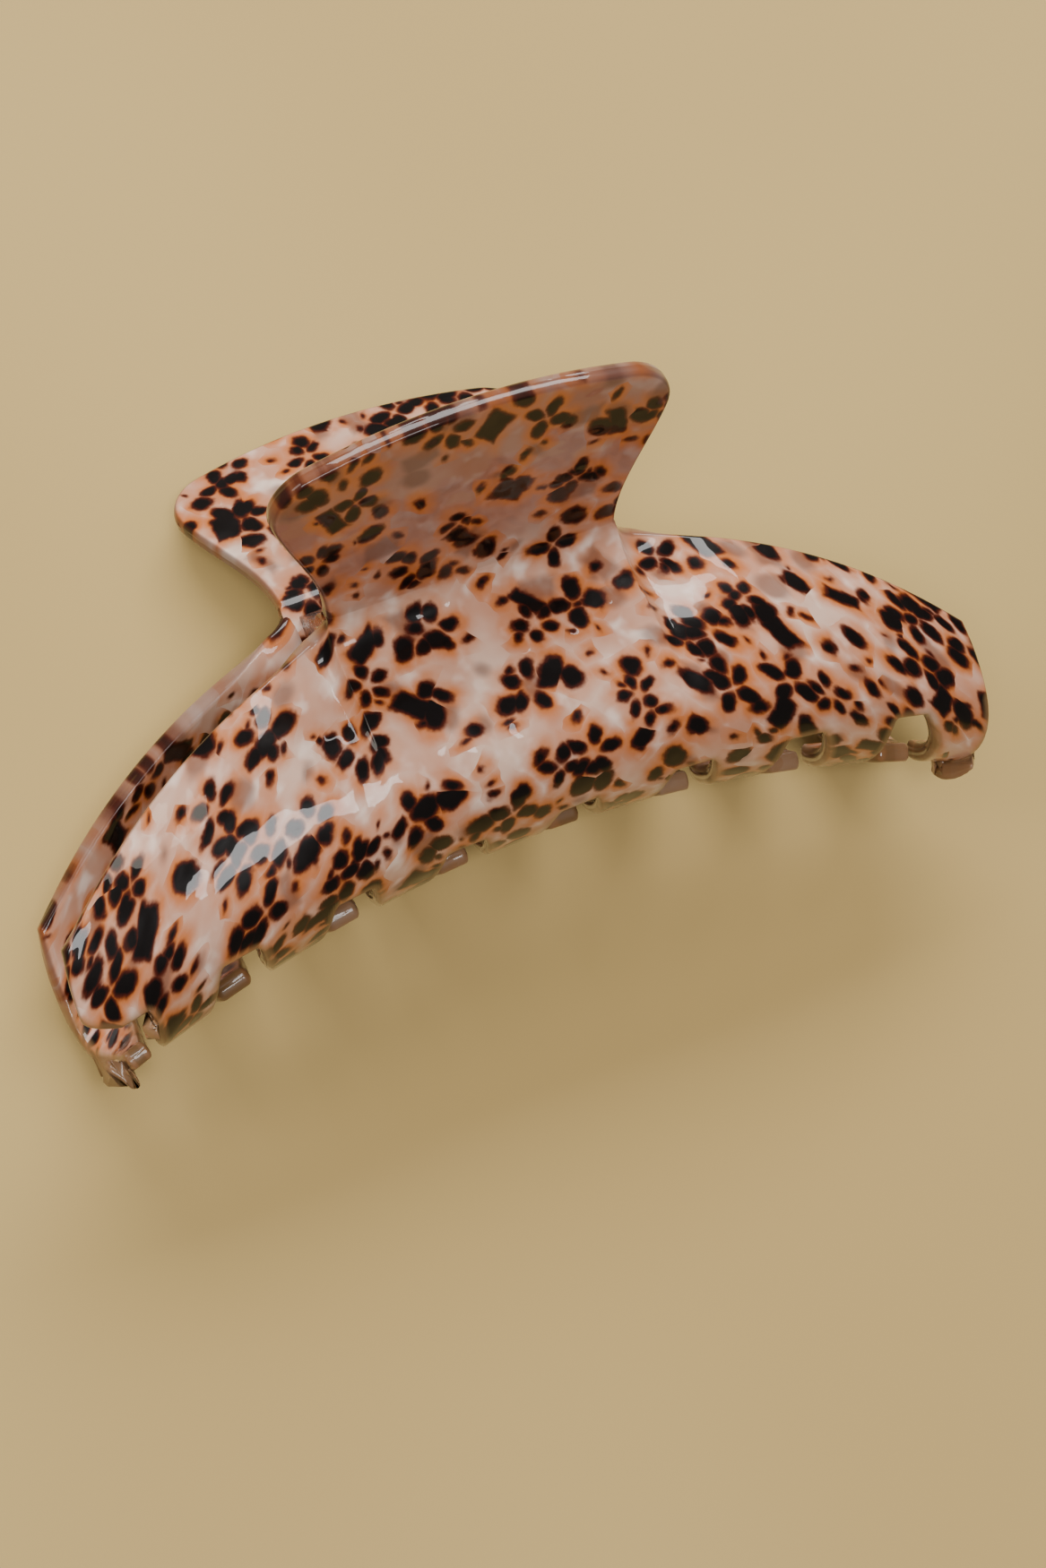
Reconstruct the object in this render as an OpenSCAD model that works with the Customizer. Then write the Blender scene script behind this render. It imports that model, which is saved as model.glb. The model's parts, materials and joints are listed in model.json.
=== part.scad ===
// Claw hair clip: two crescent jaws of formed sheet, hinged on a pin and shut by a torsion spring.
// The clip is drawn lying on its back jaw, the way it rests on a table, with X along the hinge.

/* [Jaw outline] */
// Length of each jaw along the hinge
jaw_length = 126; // [118:1:132]
// Thickness of the sheet that both jaws are formed from
sheet = 2.5; // [2:0.1:3]
// Distance between a tooth of one jaw and the next tooth of the other jaw
tooth_step = 7.75; // [7.5:0.05:7.9]
// Radius of the arched upper edge of the jaw
crown_radius = 83; // [80:1:90]
// Height of that arch above the hinge axis at mid length
crown_rise = 3.9; // [3.5:0.1:4]
// Radius of the arched tooth line
tooth_line_radius = 165; // [150:1:200]
// Depth of the tooth line under the hinge axis at mid length
tooth_line_depth = 32.5; // [31.5:0.5:34]

/* [Jaw section] */
// Half thickness of the closed clip at the belly, mid length
belly_mid = 20; // [18:0.5:22]
// Half thickness of the closed clip at the belly, at the ends
belly_end = 10.8; // [10.5:0.1:12]
// Distance from the mid plane to the outer face where the handle leaves the neck
neck_gap = 13.5; // [13:0.1:14]
// Distance from the mid plane to the upper edge, at the ends
edge_gap_end = 11.2; // [10.8:0.1:11.6]
// How square the lower bend is: 2 is round
bend_power = 2.1; // [2:0.1:2.5]

/* [Teeth] */
// How far the tooth tips pass the mid plane, at mid length
tooth_cross = 5; // [3.5:0.5:5.5]
// How far they would pass it at the very ends of the jaw
tooth_cross_end = 3; // [2:0.5:3.5]
// Place of the notch root at mid length, as a share of the belly's half thickness
notch_share = 0.68; // [0.6:0.01:0.75]
// The same at the ends of the jaw
notch_share_end = 0.96; // [0.85:0.01:0.97]
// Half width of the tooth tip before it rounds off
tip_half = 1.9; // [1.5:0.1:2.2]
// Half width of the tooth at its root
root_half = 5.6; // [5.2:0.1:5.8]

/* [Handles] */
// Length of the handle along its outer face
handle_length = 29; // [25:0.5:30]
// Width that the handle gains on each side of the neck
handle_flare = 7; // [4:0.5:8]
// Lean of the handle from the mid plane where it leaves the neck
lean_root = 47; // [44:0.5:47.5]
// Lean of the handle from the mid plane at its tip
lean_tip = 49; // [48.5:0.5:54]
// How much lower the tip's arch is at the corners
tip_sag = 4.8; // [2:0.1:5.5]
// Corner radius of the handle
corner_radius = 5.5; // [4:0.5:7]

/* [Hinge] */
// Radius of the hinge pin
pin_radius = 1; // [0.9:0.05:1.1]
// Radial clearance of the pin in the two inner knuckles
pin_clearance = 0.05; // [0.02:0.01:0.08]
// Outer radius of the knuckles' eyes
eye_radius = 3.2; // [2.8:0.1:3.4]
// Length of one knuckle
knuckle_length = 4; // [3.5:0.1:4.2]
// Distance from mid length to the near face of an inner knuckle
inner_knuckle_start = 9; // [8.8:0.1:9.2]
// Gap between an inner knuckle and the outer one beside it
knuckle_gap = 0.5; // [0.4:0.05:0.6]

/* [Spring] */
// Wire radius
wire_radius = 0.65; // [0.5:0.05:0.7]
// Radius of the coil, to the middle of the wire
coil_radius = 3.2; // [3:0.1:3.4]
// Full turns, before the part turn that the legs take off
coil_turns = 8; // [6:1:8]
// Length of each leg
leg_length = 16; // [12:1:18]
// Lean of each leg from the mid plane
leg_lean = 47.5; // [45:0.5:47.5]

/* [Hidden] */

half_length = jaw_length / 2;
neck_half = 2.5 * tooth_step;      // the neck spans five tooth places
neck_y = 3.4;                      // height above the hinge axis at which the handle begins
valley_lean = 36;                  // lean of the sheet as it comes down from the handle into the neck's valley
root_fillet = 2.6;                 // fillet between the handle's side and the crown
belly_flat = 24;                   // the belly runs level this far to each side of mid length
cap_start = 54;                    // the jaw's rounded end begins here
cap_top = 0.9;                     // length of the rounded end that is left at the crown
cap_bottom = 0.5;                 // and at the tooth line
cap_peak = 0.45;                   // where the rounded end is longest, down the section
end_tooth_ease = 0.6;              // how slowly the last tooth's outer side rounds off
crown_rows = 8;                    // rows of faces from the crown to the belly
lower_rows = 8;                    // rows from the belly to the tooth tips
handle_rows = 9;                   // rows from the neck to the handle's tip
rows = crown_rows + lower_rows;
teeth = 8;

// ---- small helpers
function clamp01(v) = min(1, max(0, v));
function smooth(v) = let (t = clamp01(v)) t * t * (3 - 2 * t);
function mix(a, b, t) = a + (b - a) * t;
function signed_pow(v, p) = sign(v) * pow(abs(v), p);
function bezier(a, b, c, d, t) =
    pow(1 - t, 3) * a + 3 * pow(1 - t, 2) * t * b + 3 * (1 - t) * t * t * c + pow(t, 3) * d;
function unit(v) = v / norm(v);

// ---- columns: places along the jaw where the section is drawn
// Offsets from the middle of a tooth that catch its tip, its flanks and the notch beside it
tooth_offsets = [-5.6, -4.4, -3.3, -2.2, 0, 2.2, 3.3, 4.4, 5.6, tooth_step];
function tooth_x(k) = (2 * k - 8.5) * tooth_step;
tooth_columns = [for (k = [1:teeth]) for (o = tooth_offsets) tooth_x(k) + o];
function between(lo, hi) = [for (x = tooth_columns) if (x > lo && x < hi) x];
left_end = [-half_length, -half_length + 0.7, -half_length + 2.2, -half_length + 4.6];
corner_columns = [neck_half - 2.3, neck_half - 0.9];
fillet_columns = [neck_half + 0.3, neck_half + 0.9, neck_half + 1.9];
last_fillet = fillet_columns[len(fillet_columns) - 1];
function mirrored(list) = [for (i = [len(list) - 1:-1:0]) -list[i]];
neck_columns = concat([-neck_half], mirrored(corner_columns),
                      between(-corner_columns[0] + 0.5, corner_columns[0] - 0.5),
                      corner_columns, [neck_half]);
columns = concat(left_end, between(-half_length + 5.5, -last_fillet - 0.5),
                 mirrored(fillet_columns), neck_columns, fillet_columns,
                 between(last_fillet + 0.5, half_length - 0.4), [half_length]);
n_columns = len(columns);
n_neck = len(neck_columns);
first_neck = len([for (x = columns) if (x < -neck_half) x]);
last_neck = first_neck + n_neck - 1;

// ---- outer face of the front jaw, with the mid plane at z = 0 and the hinge axis along X
function crown_arc(x) = crown_rise - crown_radius + sqrt(pow(crown_radius, 2) - x * x);
function fillet_lift(x) = let (d = neck_half + root_fillet - abs(x))
    d <= 0 ? 0 : root_fillet - sqrt(max(0, pow(root_fillet, 2) - pow(min(d, root_fillet), 2)));
function crown_y(x) = abs(x) <= neck_half ? neck_y
    : min(neck_y, crown_arc(x) + fillet_lift(x));
function tooth_line(x) = -tooth_line_depth - tooth_line_radius + sqrt(pow(tooth_line_radius, 2) - x * x);
function belly_y(x) = -18 - 13.5 * pow(x / 60, 2);
function belly_z(x) = mix(belly_mid, belly_end,
    pow(max(0, abs(x) - belly_flat) / (half_length - belly_flat), 1.6));
// Beside the neck the edge drops from the handle's root into the valley, along the handle's lean
valley_gap = neck_gap - (neck_y - crown_arc(neck_half)) * tan(lean_root);
function crown_z(x) = abs(x) <= neck_half ? neck_gap
    : mix(valley_gap, edge_gap_end, (abs(x) - neck_half) / (half_length - neck_half))
      + (crown_y(x) - crown_arc(x)) * tan(lean_root);

// Direction in which the sheet leaves the crown: inward in the neck's valley, outward beyond it
function crown_angle(x) = let (
        drop = crown_y(x) - belly_y(x),
        free = atan2(2 * (belly_z(x) - crown_z(x)), drop))
    mix(-valley_lean, free, smooth((abs(x) - neck_half + 1.5) / 15));

function upper_point(x, t) = let (
        drop = crown_y(x) - belly_y(x),
        a = crown_angle(x),
        p0 = [crown_y(x), crown_z(x)],
        p3 = [belly_y(x), belly_z(x)],
        p1 = p0 + 0.32 * drop * [-cos(a), sin(a)],
        p2 = p3 + [0.52 * drop, 0])
    bezier(p0, p1, p2, p3, t);

// The lower bend is a quarter of a squared-off ellipse that carries on past the mid plane in the teeth
function bend_point(x, angle) = [
    belly_y(x) + (tooth_line(x) - belly_y(x)) * pow(sin(angle), 2 / bend_power),
    belly_z(x) * signed_pow(cos(angle), 2 / bend_power)];
function notch_place(x) = mix(notch_share, notch_share_end, abs(x) / half_length);
function root_angle(x) = acos(pow(notch_place(x), bend_power / 2));
function crossing(x) = mix(tooth_cross, tooth_cross_end, pow(abs(x) / half_length, 2.2));
function tip_angle(x) = 90 + asin(pow(crossing(x) / belly_z(x), bend_power / 2));

// 1 on a tooth's tip, 0 in a notch; the last tooth's outer side runs on into the jaw's rounded end
function tooth_shape(x) = let (
        k = min(teeth, max(1, round((x / tooth_step + 8.5) / 2))),
        aside = x - tooth_x(k),
        d = k == teeth && aside > 0 ? end_tooth_ease * aside : abs(aside))
    1 - smooth((d - tip_half) / (root_half - tip_half));
function end_angle(x, column_x) = mix(root_angle(x), tip_angle(x), tooth_shape(column_x));

// Rounded ends: each row stops a little short of the full length
function cap_share(t) = t < cap_peak
    ? 1 - (1 - cap_top) * pow(1 - t / cap_peak, 2)
    : 1 - (1 - cap_bottom) * pow((t - cap_peak) / (1 - cap_peak), 2);
function row_x(x, t) = abs(x) < cap_start ? x
    : sign(x) * (cap_start + (abs(x) - cap_start) * cap_share(t));

function body_point(i, j) = let (
        t = j / rows,
        x = row_x(columns[i], t),
        p = j <= crown_rows ? upper_point(x, j / crown_rows)
            : bend_point(x, end_angle(x, columns[i]) * (j - crown_rows) / lower_rows))
    [x, p[0], p[1]];

// ---- handle: a sheet that leans out more and more towards its tip
lean_rate = (lean_tip - lean_root) / handle_length;
turn_radius = 180 / (PI * lean_rate);
function handle_section(s) = [
    neck_y + turn_radius * (sin(lean_root + lean_rate * s) - sin(lean_root)),
    neck_gap + turn_radius * (cos(lean_root) - cos(lean_root + lean_rate * s))];
function handle_half(s) = neck_half + handle_flare * (1 - cos(180 * min(1, s / (0.85 * handle_length)))) / 2;
function tip_s(share) = let (
        edge = neck_half + handle_flare,
        into_corner = max(0, abs(share) * edge - (edge - corner_radius)))
    handle_length - tip_sag * share * share
    - (corner_radius - sqrt(max(0, pow(corner_radius, 2) - into_corner * into_corner)));
function handle_point(i, j) = let (
        share = columns[i] / neck_half,
        s = tip_s(share) * j / handle_rows,
        p = handle_section(s))
    [share * handle_half(s), p[0], p[1]];

// ---- inner face: the outer one moved in by the sheet's thickness
function is_neck(i) = i >= first_neck && i <= last_neck;
// Rows count down from the crown to the teeth; negative rows are the handle's
function outer_point(i, j) = j < 0 ? handle_point(i, -j) : body_point(i, j);
function outer_normal(i, j) = let (
        j_up = is_neck(i) ? max(-handle_rows, j - 1) : max(0, j - 1),
        j_down = min(rows, j + 1),
        i_lo = j < 0 ? max(first_neck, i - 1) : max(0, i - 1),
        i_hi = j < 0 ? min(last_neck, i + 1) : min(n_columns - 1, i + 1),
        along = outer_point(i_hi, j) - outer_point(i_lo, j),
        down = outer_point(i, j_down) - outer_point(i, j_up))
    unit(cross(down, along));
function inner_point(i, j) = outer_point(i, j) - sheet * outer_normal(i, j);

body_cells = [for (i = [0:n_columns - 1]) for (j = [0:rows]) [i, j]];
handle_cells = [for (i = [first_neck:last_neck]) for (j = [1:handle_rows]) [i, -j]];
cells = concat(body_cells, handle_cells);
outer_points = [for (c = cells) outer_point(c[0], c[1])];
inner_points = [for (c = cells) inner_point(c[0], c[1])];
n_cells = len(cells);

function cell(i, j) = j >= 0 ? i * (rows + 1) + j
    : n_columns * (rows + 1) + (i - first_neck) * handle_rows - j - 1;
function quad(i, j, j2) = [cell(i, j), cell(i, j2), cell(i + 1, j2), cell(i + 1, j)];
body_quads = [for (i = [0:n_columns - 2]) for (j = [0:rows - 1]) quad(i, j, j + 1)];
handle_quads = [for (i = [first_neck:last_neck - 1]) for (j = [-handle_rows:-1]) quad(i, j, j + 1)];
quads = concat(body_quads, handle_quads);

// Cells round the outline, once round, for the wall between the two faces
rim = concat(
    [for (i = [0:n_columns - 1]) cell(i, rows)],
    [for (j = [rows - 1:-1:0]) cell(n_columns - 1, j)],
    [for (i = [n_columns - 2:-1:last_neck]) cell(i, 0)],
    [for (j = [1:handle_rows]) cell(last_neck, -j)],
    [for (i = [last_neck - 1:-1:first_neck]) cell(i, -handle_rows)],
    [for (j = [handle_rows - 1:-1:0]) cell(first_neck, -j)],
    [for (i = [first_neck - 1:-1:0]) cell(i, 0)],
    [for (j = [1:rows - 1]) cell(0, j)]);
n_rim = len(rim);

function split(q) = [[q[0], q[1], q[2]], [q[0], q[2], q[3]]];
outer_faces = [for (q = quads) for (f = split([q[3], q[2], q[1], q[0]])) f];
inner_faces = [for (q = quads) for (f = split([for (v = q) v + n_cells])) f];
rim_faces = [for (k = [0:n_rim - 1]) let (a = rim[k], b = rim[(k + 1) % n_rim])
    for (f = split([a, b, b + n_cells, a + n_cells])) f];

module jaw_sheet() {
    polyhedron(points = concat(outer_points, inner_points),
               faces = concat(outer_faces, inner_faces, rim_faces));
}

// ---- rest: the clip lies on the back jaw's belly and on the tip of its handle
middle_column = round((first_neck + last_neck) / 2);
outer_body = [for (c = body_cells) outer_point(c[0], c[1])];
outer_handle = [for (c = handle_cells) outer_point(c[0], c[1])];
// Height of the back jaw's lowest point when the clip is tilted by an angle
function lowest(points, angle) = min([for (p = points) p[1] * sin(angle) - p[2] * cos(angle)]);
function settle(lo, hi, step) = let (mid = (lo + hi) / 2)
    step == 0 ? mid
    : lowest(outer_handle, mid) < lowest(outer_body, mid) ? settle(mid, hi, step - 1)
    : settle(lo, mid, step - 1);
rest_tilt = settle(0, 45, 20);

all_points = concat(outer_points, inner_points);
tilted_front_y = [for (p = all_points) p[1] * cos(rest_tilt) - p[2] * sin(rest_tilt)];
tilted_back_y = [for (p = all_points) p[1] * cos(rest_tilt) + p[2] * sin(rest_tilt)];
// The hinge axis, seen from the middle of the clip's footprint on the table
hinge_y = -(min(concat(tilted_front_y, tilted_back_y)) + max(concat(tilted_front_y, tilted_back_y))) / 2;
hinge_z = -lowest(outer_points, rest_tilt);

module at_rest() {
    translate([0, hinge_y, hinge_z]) rotate([rest_tilt, 0, 0]) children();
}

// ---- hinge
outer_knuckle_start = inner_knuckle_start + knuckle_length + knuckle_gap;
web_sink = 0.5;                    // the web sinks a little into the sheet, where it is bonded
web_half_root = 2.6;
web_half_eye = 2.2;
head_radius = 1.7;
head_length = 0.6;

// Inner face of the neck at mid length, as pairs of height and distance from the mid plane
neck_inside = [for (j = [-handle_rows:crown_rows / 2]) let (p = inner_point(middle_column, crown_rows / 2 - handle_rows - j)) [p[1], p[2]]];
function web_corner(y) = [y, lookup(y, neck_inside) + web_sink];

// A knuckle with its eye on the hinge axis and its web reaching up to the sheet
module knuckle(start, bore) {
    translate([start, 0, 0]) rotate([90, 0, 90])
        linear_extrude(knuckle_length) difference() {
            union() {
                circle(eye_radius, $fn = 64);
                polygon([[-web_half_eye, 0], [web_half_eye, 0], web_corner(web_half_root),
                         web_corner(web_half_root / 2), web_corner(0),
                         web_corner(-web_half_root / 2), web_corner(-web_half_root)]);
            }
            circle(bore, $fn = 48);
        }
}

// ---- spring
leg_contact = leg_lean + 90;
coil_sweep = 360 * coil_turns - 2 * leg_contact;
coil_pitch = 2 * wire_radius + 0.3;
coil_length = coil_pitch * coil_sweep / 360;
coil_steps = 13 * coil_turns;
wire_sides = 6;

function leg_direction(side) = [0, cos(leg_lean), side * sin(leg_lean)];
function coil_point(share) = let (a = -leg_contact - coil_sweep * share)
    [coil_length * (share - 0.5), coil_radius * cos(a), coil_radius * sin(a)];
coil_path = [for (k = [0:coil_steps]) coil_point(k / coil_steps)];
leg_fractions = [1, 0.5, 0.12];
spring_path = concat(
    [for (f = leg_fractions) coil_path[0] + f * leg_length * leg_direction(-1)],
    coil_path,
    [for (k = [2:-1:0]) coil_path[coil_steps] + leg_fractions[k] * leg_length * leg_direction(1)]);
n_rings = len(spring_path);
function ring(k) = let (
        ahead = spring_path[min(n_rings - 1, k + 1)],
        behind = spring_path[max(0, k - 1)],
        t = unit(ahead - behind),
        u = unit(cross(t, [1, 0, 0])),
        v = cross(t, u))
    [for (m = [0:wire_sides - 1]) spring_path[k]
        + wire_radius * (cos(360 * m / wire_sides) * u + sin(360 * m / wire_sides) * v)];
spring_points = [for (k = [0:n_rings - 1]) each ring(k)];
spring_sides = [for (k = [0:n_rings - 2]) for (m = [0:wire_sides - 1])
    let (a = k * wire_sides + m, b = k * wire_sides + (m + 1) % wire_sides)
    for (f = split([a, a + wire_sides, b + wire_sides, b])) f];
spring_ends = [[for (m = [0:wire_sides - 1]) m],
               [for (m = [wire_sides - 1:-1:0]) (n_rings - 1) * wire_sides + m]];

// ---- the pieces
module front_jaw() { color("peachpuff") at_rest() jaw_sheet(); }
module back_jaw() { color("peachpuff") at_rest() rotate([0, 180, 0]) jaw_sheet(); }
module front_left_knuckle() {
    color("tan") at_rest() knuckle(-inner_knuckle_start - knuckle_length, pin_radius + pin_clearance);
}
module front_right_knuckle() {
    color("tan") at_rest() knuckle(inner_knuckle_start, pin_radius + pin_clearance);
}
module back_left_knuckle() {
    color("tan") at_rest() rotate([180, 0, 0]) knuckle(-outer_knuckle_start - knuckle_length, pin_radius);
}
module back_right_knuckle() {
    color("tan") at_rest() rotate([180, 0, 0]) knuckle(outer_knuckle_start, pin_radius);
}
module hinge_pin() {
    pin_end = outer_knuckle_start + knuckle_length;
    color("silver") at_rest() rotate([0, 90, 0]) {
        translate([0, 0, -pin_end]) cylinder(r = pin_radius, h = 2 * pin_end, $fn = 48);
        for (z = [-pin_end - head_length, pin_end])
            translate([0, 0, z]) cylinder(r = head_radius, h = head_length, $fn = 48);
    }
}
module torsion_spring() {
    color("silver") at_rest() polyhedron(points = spring_points, faces = concat(spring_sides, spring_ends));
}

front_jaw();
back_jaw();
front_left_knuckle();
front_right_knuckle();
back_left_knuckle();
back_right_knuckle();
hinge_pin();
torsion_spring();
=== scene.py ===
"""Crescent claw hair clip: two formed acetate jaws, four knuckles, a hinge pin and a torsion spring."""

import json
import math

import bmesh
import bpy
from mathutils import Matrix, Vector
from mathutils.kdtree import KDTree


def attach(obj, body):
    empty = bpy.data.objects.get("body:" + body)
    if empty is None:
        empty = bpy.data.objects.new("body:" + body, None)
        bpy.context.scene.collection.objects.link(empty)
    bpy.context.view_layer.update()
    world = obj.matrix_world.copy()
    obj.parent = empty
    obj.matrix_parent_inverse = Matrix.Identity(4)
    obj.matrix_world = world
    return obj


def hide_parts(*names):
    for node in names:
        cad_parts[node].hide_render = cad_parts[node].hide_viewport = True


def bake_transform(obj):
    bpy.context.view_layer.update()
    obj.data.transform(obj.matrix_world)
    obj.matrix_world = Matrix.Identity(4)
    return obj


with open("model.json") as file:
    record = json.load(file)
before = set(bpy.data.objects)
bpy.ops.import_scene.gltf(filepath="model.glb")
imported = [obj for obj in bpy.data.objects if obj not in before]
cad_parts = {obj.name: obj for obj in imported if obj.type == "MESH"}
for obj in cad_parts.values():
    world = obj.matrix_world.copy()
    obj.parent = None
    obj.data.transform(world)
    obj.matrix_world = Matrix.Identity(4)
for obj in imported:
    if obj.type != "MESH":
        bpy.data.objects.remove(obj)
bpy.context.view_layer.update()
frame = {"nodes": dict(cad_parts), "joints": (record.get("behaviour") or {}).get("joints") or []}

bl_info = {
    "name": "Claw Hair Clip",
    "version": (1, 0, 0),
    "blender": (4, 5, 0),
    "location": "View3D > Sidebar > Claw Clip",
    "description": "Builds a crescent claw hair clip in laminated acetate round its packed CAD frame",
    "category": "Add Mesh",
}

MM = 0.001
HINGE = Vector(frame["joints"][0]["pos_m"])
REST_TILT = math.radians(18.48)

# The sheet that both jaws are formed from, in millimetres, in the clip's own axes: X along the
# hinge, Y towards the handles, Z out of the front jaw, with the hinge axis at the origin.
SHEET = 2.5
HALF_LENGTH = 63.0
TOOTH_STEP = 7.75
TEETH = 8
NECK_HALF = 2.5 * TOOTH_STEP
NECK_Y = 3.4
NECK_GAP = 13.5
ROOT_FILLET = 2.6
CROWN_RADIUS = 83.0
CROWN_RISE = 3.9
TOOTH_LINE_RADIUS = 165.0
TOOTH_LINE_DEPTH = 32.5
BELLY_MID = 20.0
BELLY_END = 10.8
BELLY_FLAT = 24.0
EDGE_GAP_END = 11.2
VALLEY_LEAN = 36.0
BEND_POWER = 2.1
TOOTH_CROSS = 5.0
TOOTH_CROSS_END = 3.0
NOTCH_SHARE = 0.68
NOTCH_SHARE_END = 0.96
TIP_HALF = 1.9
ROOT_HALF = 5.6
END_TOOTH_EASE = 0.6
CAP_START = 54.0
CAP_TOP = 0.9
CAP_BOTTOM = 0.5
CAP_PEAK = 0.45
HANDLE_LENGTH = 29.0
HANDLE_FLARE = 7.0
LEAN_ROOT = 47.0
LEAN_TIP = 49.0
TIP_SAG = 4.8
CORNER_RADIUS = 5.5

# Spring, in millimetres
WIRE_RADIUS = 0.65
COIL_RADIUS = 3.2
COIL_TURNS = 8
LEG_LENGTH = 16.0
LEG_LEAN = 47.5
COIL_GAP = 0.3
COIL_STEPS = 28  # points in each turn
LEG_SHARES = (0.06, 0.2, 0.5, 1.0)  # places of the points along a leg

# Knuckles and pin: their edges are broken by this much, wherever faces meet at more than the angle
EDGE_BREAK = 0.25 * MM
EDGE_BREAK_ANGLE = math.radians(50)

# Where the back jaw was cut on the patterned block, in millimetres from the front jaw's place
BACK_CUT = Vector((137, 59, 0))

# Colours of the laminated acetate
BLUSH = "#C4A492"
TAN = "#B4826A"
CREAM = "#D6BFB2"
# Painted shade: the brown laid over the handles' outer sides
HANDLE_PAINTED_SHADE = "#703A2E"
AMBER = "#B0622C"
DEEP_CHIP = "#5B4038"
CHIP_EDGE = "#4A190D"
CHIP_CORE = "#0B0707"
RIM_BROWN = "#3A1C15"
CLEAR_LAYER = "#A87F52"

# Camera: turn, rise and roll about the clip's own axes in degrees, and its target in millimetres
CAMERA_YAW = 15.47
CAMERA_PITCH = 10.13
CAMERA_ROLL = 17.44
CAMERA_TARGET = (1.52, -26.24, 0)
CAMERA_DISTANCE = 0.36803
CAMERA_LENS = 65.53
SENSOR_WIDTH = 36

# Stage: each light's place is right, up and towards the camera from the aim, in metres
FLOOR_SIZE = 3.0
FLOOR_PALE = "#B39A62"
FLOOR_DARK = "#A98F59"
LIGHT_AIM = (0, -14, 10)
LIGHTS = (
    # name, place, length, width, watts, colour, seen mirrored in the gloss
    ("top_window", (0.07, 0.9, 0.42), 0.95, 0.3, 13, "#FFFDFA", True),
    ("belly_strip", (0.12, -0.04, 1.0), 0.7, 0.2, 7, "#FFFFFF", True),
    ("left_fill", (-0.65, 0.3, 0.8), 0.35, 0.35, 2.5, "#FFF6E8", True),
    ("ceiling", (-0.05, 0.4, 1.15), 1.3, 1.1, 8, "#FFFBF4", False),
)
WORLD_COLOUR = "#FFF9F0"
WORLD_STRENGTH = 0.16


# ---------------------------------------------------------------- shape of the sheet


def smooth(value):
    t = min(1.0, max(0.0, value))
    return t * t * (3 - 2 * t)


def mix(a, b, t):
    return a + (b - a) * t


def arch(x, radius):
    return math.sqrt(radius * radius - x * x) - radius


def crown_arc(x):
    return CROWN_RISE + arch(x, CROWN_RADIUS)


def crown_y(x):
    """Height of the jaw's upper edge, with a fillet where it meets the handle's side."""
    into = NECK_HALF + ROOT_FILLET - abs(x)
    if abs(x) <= NECK_HALF:
        return NECK_Y
    lift = ROOT_FILLET - math.sqrt(max(0.0, ROOT_FILLET**2 - max(0.0, into) ** 2))
    return min(NECK_Y, crown_arc(x) + lift)


def tooth_line(x):
    return -TOOTH_LINE_DEPTH + arch(x, TOOTH_LINE_RADIUS)


def belly_y(x):
    return -18 - 13.5 * (x / 60) ** 2


def belly_z(x):
    past = max(0.0, abs(x) - BELLY_FLAT) / (HALF_LENGTH - BELLY_FLAT)
    return mix(BELLY_MID, BELLY_END, past**1.6)


def crown_z(x):
    if abs(x) <= NECK_HALF:
        return NECK_GAP
    slope = math.tan(math.radians(LEAN_ROOT))
    valley = NECK_GAP - (NECK_Y - crown_arc(NECK_HALF)) * slope
    share = (abs(x) - NECK_HALF) / (HALF_LENGTH - NECK_HALF)
    return mix(valley, EDGE_GAP_END, share) + (crown_y(x) - crown_arc(x)) * slope


def upper_section(x, t):
    """From the crown at t 0 to the belly at t 1, as (y, z)."""
    drop = crown_y(x) - belly_y(x)
    free = math.atan2(2 * (belly_z(x) - crown_z(x)), drop)
    lean = mix(-math.radians(VALLEY_LEAN), free, smooth((abs(x) - NECK_HALF + 1.5) / 15))
    a = Vector((crown_y(x), crown_z(x)))
    d = Vector((belly_y(x), belly_z(x)))
    b = a + 0.32 * drop * Vector((-math.cos(lean), math.sin(lean)))
    c = d + Vector((0.52 * drop, 0))
    u = 1 - t
    return u**3 * a + 3 * u * u * t * b + 3 * u * t * t * c + t**3 * d


def lower_section(x, angle):
    """A quarter of a squared-off ellipse, which carries on past the mid plane in the teeth."""
    power = 2 / BEND_POWER
    cosine = math.cos(angle)
    y = belly_y(x) + (tooth_line(x) - belly_y(x)) * math.sin(angle) ** power
    return Vector((y, belly_z(x) * math.copysign(abs(cosine) ** power, cosine)))


def tooth_shape(x):
    """1 on a tooth's tip and 0 in a notch; the last tooth's outer side runs into the rounded end."""
    k = min(TEETH, max(1, round((x / TOOTH_STEP + TEETH + 0.5) / 2)))
    aside = x - (2 * k - TEETH - 0.5) * TOOTH_STEP
    if k == TEETH and aside > 0:
        aside *= END_TOOTH_EASE
    return 1 - smooth((abs(aside) - TIP_HALF) / (ROOT_HALF - TIP_HALF))


def end_angle(x, column):
    notch = mix(NOTCH_SHARE, NOTCH_SHARE_END, abs(x) / HALF_LENGTH)
    root = math.acos(notch ** (BEND_POWER / 2))
    cross = mix(TOOTH_CROSS, TOOTH_CROSS_END, (abs(x) / HALF_LENGTH) ** 2.2)
    tip = math.pi / 2 + math.asin((cross / belly_z(x)) ** (BEND_POWER / 2))
    return mix(root, tip, tooth_shape(column))


def cap_share(t):
    if t < CAP_PEAK:
        return 1 - (1 - CAP_TOP) * (1 - t / CAP_PEAK) ** 2
    return 1 - (1 - CAP_BOTTOM) * ((t - CAP_PEAK) / (1 - CAP_PEAK)) ** 2


def body_point(column, v):
    """Outer face of the front jaw: v is 0 at the crown, 1 at the belly and 2 at the tooth line."""
    x = column
    if abs(column) > CAP_START:
        x = math.copysign(CAP_START + (abs(column) - CAP_START) * cap_share(v / 2), column)
    p = upper_section(x, v) if v <= 1 else lower_section(x, end_angle(x, column) * (v - 1))
    return Vector((x, p[0], p[1]))


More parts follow.
